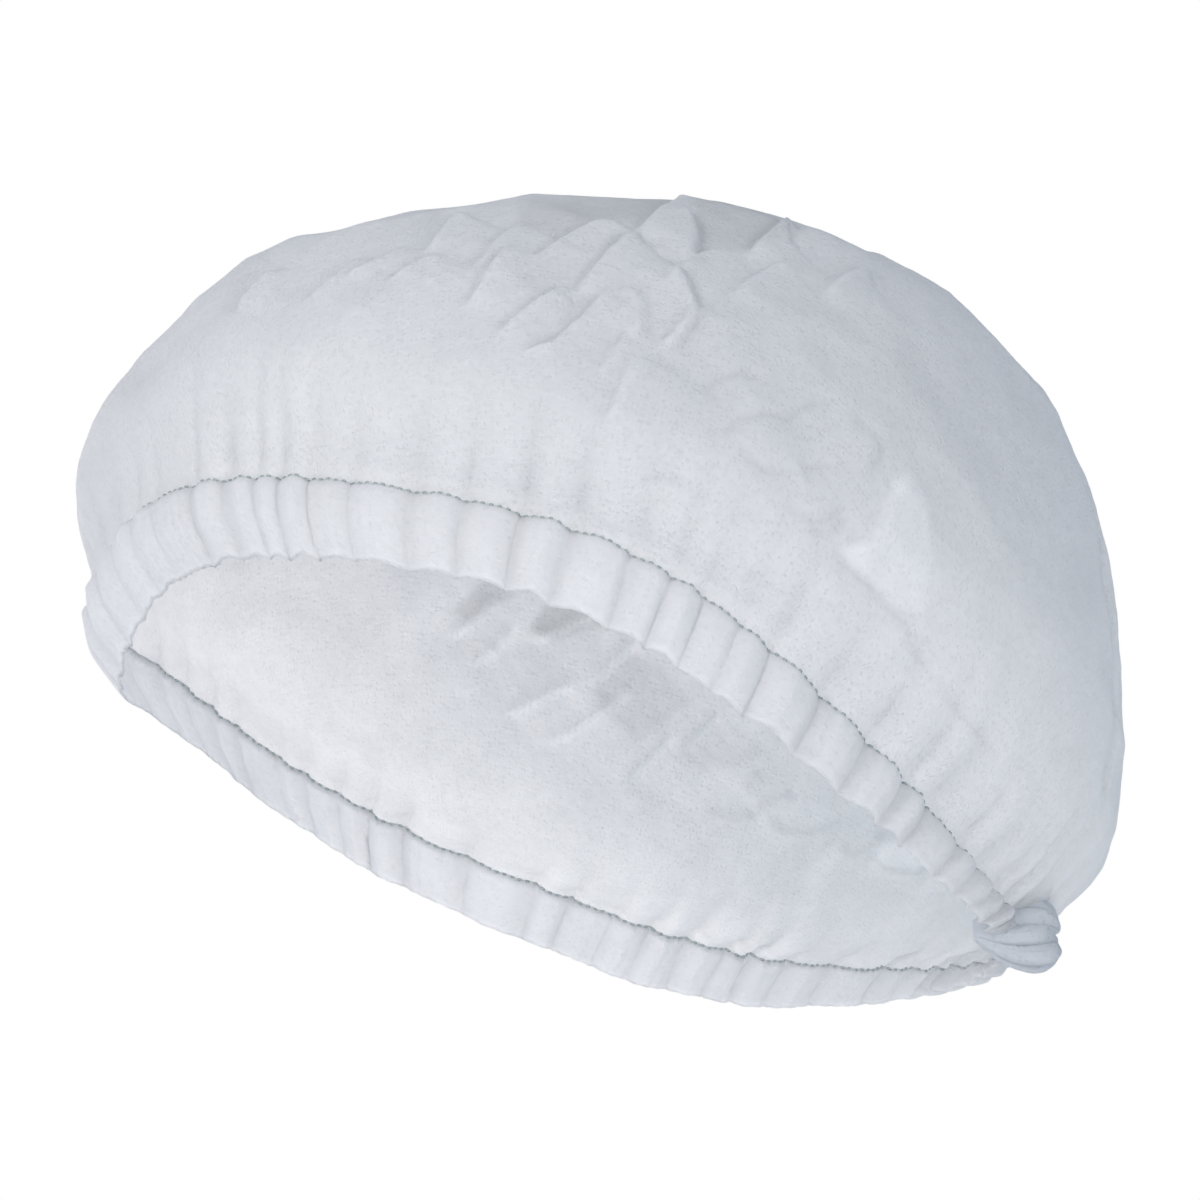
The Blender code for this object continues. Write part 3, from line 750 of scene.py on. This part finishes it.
def hem_middle(turn, share):
    """How far the middle of the folded hem stands out: its ruffles, and its pinch at the stitches."""
    crimp = np.sin(tau * (HEM_CRIMPS * turn + waves([HEM_CRIMP_DRIFT], turn)))
    depth = SEAM_RUFFLE + (HEM_RUFFLE - SEAM_RUFFLE) * np.sin(pi * np.clip(share, 0, 1)) ** HEM_RUFFLE_ROUND
    pinch = SEAM_PINCH * np.exp(-(1.0 - share) * BAND_HEIGHT / PINCH_REACH)
    return depth * hem_wave(turn, share) + HEM_CRIMP * crimp - pinch


def make_hem():
    turns = np.arange(HEM_COLUMNS) / HEM_COLUMNS
    up = np.linspace(0.0, 1.0, HEM_ROWS) ** HEM_ROW_SPREAD
    share, turn = np.broadcast_arrays(np.concatenate([up[::-1], up[1:]])[:, None], turns[None, :])
    side = np.concatenate([np.ones(HEM_ROWS), -np.ones(HEM_ROWS - 1)])[:, None]
    puff = HEM_PUFF * np.sin(pi * share)
    fold = HEM_FOLD / 2 * np.sqrt(np.clip(share * HEM_ROUNDING, 0.0, 1.0))
    points = hem_points(turn, share, hem_middle(turn, share) + side * (fold + puff))
    scallop = SCALLOP * gather_wave(turns) + waves([SCALLOP_DRIFT], turns)
    points[..., 2] += scallop * (1.0 - smooth_step(0.0, SCALLOP_REACH, share))
    rows = len(share)
    faces = ring_faces(rows, HEM_COLUMNS)
    first = (rows - 1) * HEM_COLUMNS
    faces += [(first + k, first + (k + 1) % HEM_COLUMNS, (k + 1) % HEM_COLUMNS, k) for k in range(HEM_COLUMNS)]
    hem = make_mesh("hem_cloth", lean_back(points.reshape(-1, 3)), faces)
    # Painted highlight on the hem's ridges and at its fold, painted shade in its valleys and at the stitches
    ridge_light_and_shade = HEM_RIDGE_PAINTED_LIGHT * np.minimum(hem_wave(turn, share), HEM_PAINTED_LIGHT_TOP)
    fold_highlight_and_seam_shade = HEM_FOLD_HIGHLIGHT * bell(share, 0.0, HEM_GAIN_REACH) - HEM_SEAM_PAINTED_SHADE * bell(share, 1.0, HEM_GAIN_REACH)
    set_layers_and_painted_light(hem, ridge_light_and_shade + HEM_GAIN + fold_highlight_and_seam_shade)
    girth = pi * (RIM_LENGTH + RIM_WIDTH) / 2 * HEM_FULLNESS
    up = HEM_ROW_STEP * np.arange(1, rows + 1)
    flat = np.stack(np.broadcast_arrays(girth * turns[None, :], up[:, None]), -1)
    add_flat_map(hem, flat.reshape(-1, 2))
    return hem


# The tuft of the knot along its length: place from the neck to the end, half width and height, drop, and pleat depth,
# in mm
TuftRow = namedtuple("TuftRow", "along wide high drop pleat")
TUFT_ROWS = (
    TuftRow(along=-6.0, wide=1.0, high=2.6, drop=-0.5, pleat=0.1),
    TuftRow(along=-4.0, wide=4.2, high=4.4, drop=-0.2, pleat=0.5),
    TuftRow(along=-1.0, wide=6.6, high=6.8, drop=0.4, pleat=1.2),
    TuftRow(along=3.0, wide=7.8, high=9.2, drop=0.8, pleat=1.8),
    TuftRow(along=7.0, wide=8.4, high=10.2, drop=1.2, pleat=2.3),
    TuftRow(along=10.0, wide=7.8, high=9.6, drop=1.6, pleat=2.4),
    TuftRow(along=12.2, wide=6.0, high=7.4, drop=1.8, pleat=2.0),
    TuftRow(along=12.9, wide=3.4, high=4.6, drop=1.8, pleat=1.3),
    TuftRow(along=11.2, wide=1.3, high=1.8, drop=1.8, pleat=0.4),
    TuftRow(along=9.6, wide=0.2, high=0.3, drop=1.8, pleat=0.0),
)
TUFT_START = Vector((0.0993, -0.0030, -0.0303))
TUFT_COLUMNS = 180
TUFT_ROWS_FINE = 64
TUFT_BLUR = 1.6
# Round the tuft: its pleats, their drift and their twist in radians to a metre, the round backs and uneven depths of
# the pleats, its lumps and their own twist, the narrowest half width that pleats are cut to, the limits of its radius
# as shares of the half width, and its uneven end
TUFT_PLEATS = 11
TUFT_DRIFT = (Wave(rate=2, size=0.9, phase=1.0), Wave(rate=3, size=0.7))
TUFT_TWIST = 26.0
TUFT_ROUND = 0.7
TUFT_FOLD = 0.8
TUFT_FOLDS = (Wave(rate=3, size=0.3, phase=2.0),)
TUFT_CREST = 0.9
TUFT_LUMPS = (Wave(rate=2, size=0.10, phase=0.6),)
TUFT_TURNED_LUMPS = (Wave(rate=3, size=0.08),)
TUFT_LUMP_TWIST = 40.0
TUFT_NARROWEST = 0.0008
TUFT_LIMITS = (0.25, 1.2)
TUFT_END = (Wave(rate=5, size=0.0007),)
TUFT_END_SPAN = (0.004, 0.011)


def make_knot():
    """The gathered, welded end of the cloth: a tuft of deep crumpled pleats behind the hem's two ends."""
    rows = np.array(TUFT_ROWS) * MM
    places = np.linspace(0, len(rows) - 1, TUFT_ROWS_FINE)
    along, wide, high, drop, pleat = (blurred(np.interp(places, np.arange(len(rows)), rows[:, k]), TUFT_BLUR)[:, None]
                                      for k in range(5))
    angle = tau * np.arange(TUFT_COLUMNS)[None, :] / TUFT_COLUMNS
    bend = TUFT_PLEATS * (angle + TUFT_TWIST * along) + waves(TUFT_DRIFT, angle)
    fold = np.abs(np.sin(bend / 2)) ** TUFT_ROUND * (TUFT_FOLD + waves(TUFT_FOLDS, angle))
    lumps = waves(TUFT_LUMPS, angle) + waves(TUFT_TURNED_LUMPS, angle + TUFT_LUMP_TWIST * along)
    radius = 1.0 - pleat / np.maximum(wide, TUFT_NARROWEST) * (TUFT_CREST - fold)
    radius = np.clip(radius, *TUFT_LIMITS) * (1.0 + lumps)
    x = along + waves(TUFT_END, angle) * smooth_step(*TUFT_END_SPAN, along)
    y = wide * radius * np.cos(angle)
    z = high * radius * np.sin(angle) - drop
    points = np.stack([x, y, z], -1).reshape(-1, 3) + np.array(TUFT_START)
    faces = ring_faces(TUFT_ROWS_FINE, TUFT_COLUMNS)
    last = (TUFT_ROWS_FINE - 1) * TUFT_COLUMNS
    faces.append(tuple(reversed(range(TUFT_COLUMNS))))
    faces.append(tuple(last + k for k in range(TUFT_COLUMNS)))
    return make_mesh("knot_tuft", points, faces)


# Stitches: pitch, length and radius, rings along each in shares of its length, with their shares of its radius, the
# sides of a ring, the height on the hem, how far the thread stands proud of the cloth, and how deep and where at the
# front and the back it sinks into the gathers
STITCH_PITCH = 0.0020
STITCH_LENGTH = 0.0011
STITCH_RADIUS = 0.00033
STITCH_PLACES = np.array((-0.5, -0.42, -0.2, 0.2, 0.42, 0.5))
STITCH_SIZES = (0.05, 0.7, 1.0, 1.0, 0.7, 0.05)
STITCH_SIDES = 6
STITCH_SHARE = 0.985
STITCH_PROUD = 0.0001
STITCH_SUNK = 0.0006
SUNK_AT_FRONT = (0.10, 0.03)
SUNK_AT_BACK = (0.38, 0.46)


def make_stitches():
    """Short dark threads along the seam, outside and inside."""
    turns = np.linspace(0.0, 1.0, SEAM_SAMPLES)
    line = hem_points(turns, np.ones_like(turns), np.zeros_like(turns))
    steps = np.linalg.norm(np.diff(line, axis=0), axis=-1)
    along = np.concatenate([[0.0], np.cumsum(steps)])
    count = int(along[-1] / STITCH_PITCH)
    points = []
    faces = []
    sides = STITCH_SIDES
    last = len(STITCH_SIZES) - 1
    for number in range(count):
        turn = np.interp((number + 0.5) * STITCH_PITCH + STITCH_LENGTH * STITCH_PLACES, along, turns)
        share = np.full_like(turn, STITCH_SHARE)
        from_front = np.minimum(turn, 1.0 - turn)
        sunk = STITCH_SUNK * (smooth_step(*SUNK_AT_FRONT, from_front) + smooth_step(*SUNK_AT_BACK, from_front))
        for face in (1.0, -1.0):
            out = hem_middle(turn, share) + face * (HEM_FOLD / 2 + STITCH_PROUD - sunk)
            spine = hem_points(turn, share, out)
            ahead = spine[-1] - spine[0]
            ahead /= np.linalg.norm(ahead)
            across = np.cross(ahead, (0.0, 0.0, 1.0))
            across /= np.linalg.norm(across)
            up = np.cross(across, ahead)
            start = len(points)
            for place, size in zip(spine, STITCH_SIZES):
                for k in range(sides):
                    angle = tau * k / sides
                    points.append(place + STITCH_RADIUS * size * (across * cos(angle) + up * sin(angle)))
            for ring in range(last):
                for k in range(sides):
                    a = start + ring * sides + k
                    b = start + ring * sides + (k + 1) % sides
                    faces.append((a, b, b + sides, a + sides))
            faces.append(tuple(start + k for k in reversed(range(sides))))
            faces.append(tuple(start + last * sides + k for k in range(sides)))
    return make_mesh("stitches", lean_back(np.array(points)), faces)


class Nodes:
    """Short ways to add shader nodes to one material."""

    def __init__(self, name):
        self.material = bpy.data.materials.new(name)
        self.material.use_nodes = True
        self.tree = self.material.node_tree
        self.shader = self.tree.nodes["Principled BSDF"]
        self.output = self.tree.nodes["Material Output"]

    def add(self, kind, **values):
        node = self.tree.nodes.new(kind)
        for key, value in values.items():
            socket = node.inputs.get(key.replace("_", " ").title())
            if socket is None:
                setattr(node, key, value)
            elif isinstance(value, bpy.types.NodeSocket):
                self.link(value, socket)
            else:
                socket.default_value = value
        return node

    def link(self, value, socket):
        self.tree.links.new(value, socket)

    def sum(self, operation, *values):
        node = self.tree.nodes.new("ShaderNodeMath")
        node.operation = operation
        for socket, value in zip(node.inputs, values):
            if isinstance(value, bpy.types.NodeSocket):
                self.link(value, socket)
            else:
                socket.default_value = value
        return node.outputs[0]

    def span(self, value, low, high, to_low, to_high):
        node = self.add("ShaderNodeMapRange", value=value, from_min=low, from_max=high, to_min=to_low, to_max=to_high)
        return node.outputs["Result"]


# Kinds of web: colour, share of the light that comes through, whether it has bond dots laid on its flat map, and how
# much its density varies
Web = namedtuple("Web", "name colour through emboss mottle")
CROWN_WEB = Web("crown_nonwoven", colour=(0.925, 0.935, 0.952), through=0.45, emboss=True, mottle=0.045)
HEM_WEB = Web("hem_nonwoven", colour=(0.925, 0.932, 0.948), through=0.50, emboss=True, mottle=0.03)
# The knot's cloth has a darker, bluer colour than the crown's: painted shade of the crumpled tuft in shadow behind
# the hem
KNOT_SHADED_WEB = Web("knot_nonwoven_painted_shade", colour=(0.74, 0.78, 0.83), through=0.2, emboss=False, mottle=0.06)
THROUGH_SPREAD = 0.04
# The part of a noise's range that is used, the rim of a bond dot, the lay and width of the fibres, and what the dots,
# fibres and grain add to the shade and the relief
NOISE_SPAN = (0.3, 0.7)
DOT_RIM = (0.20, 0.42)
FIBRE_TURNS = (0.5, -0.9)
FIBRE_WIDTH = 0.06
DOT_SHADE = 0.25
FIBRE_SHADE = 0.5
DOT_RELIEF = -1.0
GRAIN_RELIEF = 2.0
FIBRE_RELIEF = 0.35


def cloth_material(kind):
    """Spunbond web: thermal bond dots, fibres, a cloudy density, light that comes through, and painted highlights and
    shade.
    """
    web = Nodes(kind.name)
    shader = web.shader
    shader.inputs["Roughness"].default_value = 0.8
    shader.inputs["Specular IOR Level"].default_value = 0.12
    place = web.add("ShaderNodeTexCoord")
    flat = web.add("ShaderNodeUVMap", uv_map="cut_cloth").outputs["UV"] if kind.emboss else place.outputs["Object"]
    space = place.outputs["Object"]
    clouds = web.add("ShaderNodeTexNoise", vector=space, scale=75.0, detail=4.0, roughness=0.55).outputs["Fac"]
    grain = web.add("ShaderNodeTexNoise", vector=space, scale=520.0, detail=5.0, roughness=0.7).outputs["Fac"]
    dots = web.add("ShaderNodeTexVoronoi", vector=flat, scale=EMBOSS_SCALE, randomness=0.55).outputs["Distance"]
    dots = web.span(dots, *DOT_RIM, 1.0, 0.0)
    fibres = None
    for turn in FIBRE_TURNS:
        lay = web.add("ShaderNodeMapping", vector=flat, rotation=(0.0, 0.0, turn), scale=(260.0, 1900.0, 900.0))
        lines = web.add("ShaderNodeTexNoise", vector=lay.outputs["Vector"], scale=1.0, detail=2.0).outputs["Fac"]
        lines = web.sum("ABSOLUTE", web.sum("SUBTRACT", lines, 0.5))
        fibres = lines if fibres is None else web.sum("MINIMUM", fibres, lines)
    fibres = web.span(fibres, 0.0, FIBRE_WIDTH, 1.0, 0.0)
    grey = web.span(clouds, *NOISE_SPAN, 1.0 - kind.mottle, 1.0)
    shade = web.sum("ADD", grey, web.span(grain, *NOISE_SPAN, -kind.mottle, 0.0))
    shade = web.sum("ADD", shade, web.sum("MULTIPLY", fibres, FIBRE_SHADE * kind.mottle))
    shade = web.sum("SUBTRACT", shade, web.sum("MULTIPLY", dots, DOT_SHADE * kind.mottle))
    # Painted highlights and painted shade, with doubled cloth, brighten and darken the colour here
    layers = web.add("ShaderNodeAttribute", attribute_name="layers").outputs["Fac"]
    shade = web.sum("ADD", shade, web.sum("MULTIPLY", layers, LAYER_AND_PAINTED_LIGHT_STEP))
    tint = web.add("ShaderNodeVectorMath", operation="SCALE")
    tint.inputs[0].default_value = kind.colour
    web.link(shade, tint.inputs["Scale"])
    web.link(tint.outputs["Vector"], shader.inputs["Base Color"])
    relief = web.sum("ADD", web.sum("MULTIPLY", dots, DOT_RELIEF), web.sum("MULTIPLY", grain, GRAIN_RELIEF))
    relief = web.sum("ADD", relief, web.sum("MULTIPLY", fibres, FIBRE_RELIEF))
    bump = web.add("ShaderNodeBump", height=relief, strength=0.8, distance=0.00018)
    web.link(bump.outputs["Normal"], shader.inputs["Normal"])
    glow = web.add("ShaderNodeBsdfTranslucent", color=tint.outputs["Vector"], normal=bump.outputs["Normal"])
    share = web.span(clouds, *NOISE_SPAN, kind.through - THROUGH_SPREAD, kind.through + THROUGH_SPREAD)
    mixer = web.add("ShaderNodeMixShader", fac=share)
    web.link(shader.outputs["BSDF"], mixer.inputs[1])
    web.link(glow.outputs["BSDF"], mixer.inputs[2])
    web.link(mixer.outputs["Shader"], web.output.inputs["Surface"])
    return web.material


THREAD_TONES = ((0.3, (0.26, 0.32, 0.33, 1.0)), (0.7, (0.48, 0.55, 0.55, 1.0)))


def thread_material():
    web = Nodes("thread")
    web.shader.inputs["Roughness"].default_value = 0.6
    place = web.add("ShaderNodeTexCoord").outputs["Object"]
    fuzz = web.add("ShaderNodeTexNoise", vector=place, scale=2500.0, detail=2.0).outputs["Fac"]
    tint = web.add("ShaderNodeValToRGB", fac=fuzz)
    for stop, (position, colour) in zip(tint.color_ramp.elements, THREAD_TONES):
        stop.position = position
        stop.color = colour
    web.link(tint.outputs["Color"], web.shader.inputs["Base Color"])
    return web.material


# Soft boxes: place in metres, width in metres, power in watts and colour. All aim at the middle of the cap.
SoftBox = namedtuple("SoftBox", "name place width power colour")
LIGHTS = (
    SoftBox("front", (0.0, -1.6, -0.3), 0.40, 2.9, (1.0, 0.98, 0.94)),
    SoftBox("front_right", (0.95, -1.4, -0.9), 0.40, 8.0, (1.0, 0.98, 0.96)),
    SoftBox("front_left", (-0.34, -0.55, 0.05), 0.20, 1.35, (1.0, 0.94, 0.90)),
    SoftBox("left", (-1.3, 0.0, 0.0), 0.45, 2.8, (1.0, 0.98, 0.97)),
    SoftBox("back_left", (-0.8, 1.6, 0.6), 0.40, 12.6, (1.0, 0.89, 0.83)),
    SoftBox("back_far_left", (-1.2, 1.0, 0.1), 0.40, 7.0, (1.0, 0.96, 0.96)),
    SoftBox("back_right", (0.5, 1.6, -0.6), 0.40, 7.0, (1.0, 0.92, 0.82)),
    SoftBox("right", (1.2, 1.0, 0.0), 0.40, 3.8, (0.60, 0.85, 1.0)),
)
LIGHT_AIM = Vector((0.01, 0.0, 0.05))
SURROUNDINGS = (0.27, 0.31, 0.365)
FLOOR_HALF = 3.0
FLOOR_HEIGHT = -1.5
FLOOR_WHITE = 0.92
FLOOR_GLOW = 0.20


def add_area(row):
    light = bpy.data.lights.new(row.name, "AREA")
    light.shape = "DISK"
    light.size = row.width
    light.energy = row.power
    light.color = row.colour
    item = bpy.data.objects.new(row.name, light)
    item.location = row.place
    item.rotation_mode = "QUATERNION"
    item.rotation_quaternion = (LIGHT_AIM - Vector(row.place)).to_track_quat("-Z", "Y")
    item.visible_camera = False
    bpy.context.scene.collection.objects.link(item)


def make_room():
    """Camera, white surroundings, floor and lights."""
    camera = bpy.data.cameras.new("photo_camera")
    camera.lens = CAMERA_LENS
    camera.sensor_width = CAMERA_SENSOR
    camera.clip_end = 50.0
    item = bpy.data.objects.new("photo_camera", camera)
    item.location = CAMERA_PLACE
    item.rotation_mode = "QUATERNION"
    item.rotation_quaternion = (CAMERA_AIM - CAMERA_PLACE).to_track_quat("-Z", "Y")
    bpy.context.scene.collection.objects.link(item)
    bpy.context.scene.camera = item
    world = bpy.data.worlds.new("studio")
    bpy.context.scene.world = world
    world.use_nodes = True
    tree = world.node_tree
    seen = tree.nodes["Background"]
    seen.inputs["Color"].default_value = (1.0, 1.0, 1.0, 1.0)
    seen.inputs["Strength"].default_value = 1.0
    lit = tree.nodes.new("ShaderNodeBackground")
    lit.inputs["Color"].default_value = (*SURROUNDINGS, 1.0)
    lit.inputs["Strength"].default_value = 1.0
    mixer = tree.nodes.new("ShaderNodeMixShader")
    rays = tree.nodes.new("ShaderNodeLightPath")
    tree.links.new(rays.outputs["Is Camera Ray"], mixer.inputs["Fac"])
    tree.links.new(lit.outputs["Background"], mixer.inputs[1])
    tree.links.new(seen.outputs["Background"], mixer.inputs[2])
    tree.links.new(mixer.outputs["Shader"], tree.nodes["World Output"].inputs["Surface"])
    for row in LIGHTS:
        add_area(row)
    sides = ((-1, -1), (1, -1), (1, 1), (-1, 1))
    corners = np.array([(x * FLOOR_HALF, y * FLOOR_HALF, FLOOR_HEIGHT) for x, y in sides])
    floor = make_mesh("floor", corners, [(0, 1, 2, 3)], smooth=False)
    material = bpy.data.materials.new("floor_paper")
    material.use_nodes = True
    shader = material.node_tree.nodes["Principled BSDF"]
    shader.inputs["Base Color"].default_value = (FLOOR_WHITE, FLOOR_WHITE, FLOOR_WHITE, 1.0)
    shader.inputs["Roughness"].default_value = 0.9
    shader.inputs["Emission Color"].default_value = (1.0, 1.0, 1.0, 1.0)
    shader.inputs["Emission Strength"].default_value = FLOOR_GLOW
    floor.data.materials.append(material)
    view = bpy.context.scene.view_settings
    view.view_transform = "Standard"
    view.look = "None"


def main():
    make_room()
    crown = make_crown()
    hem = make_hem()
    knot = make_knot()
    stitches = make_stitches()
    for piece, kind in ((crown, CROWN_WEB), (hem, HEM_WEB), (knot, KNOT_SHADED_WEB)):
        piece.data.materials.append(cloth_material(kind))
    stitches.data.materials.append(thread_material())
    for piece in (crown, hem, knot, stitches):
        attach(piece, "root")
    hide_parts("crown")
    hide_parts("left_band", "right_band")
    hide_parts("rear_knot")


main()
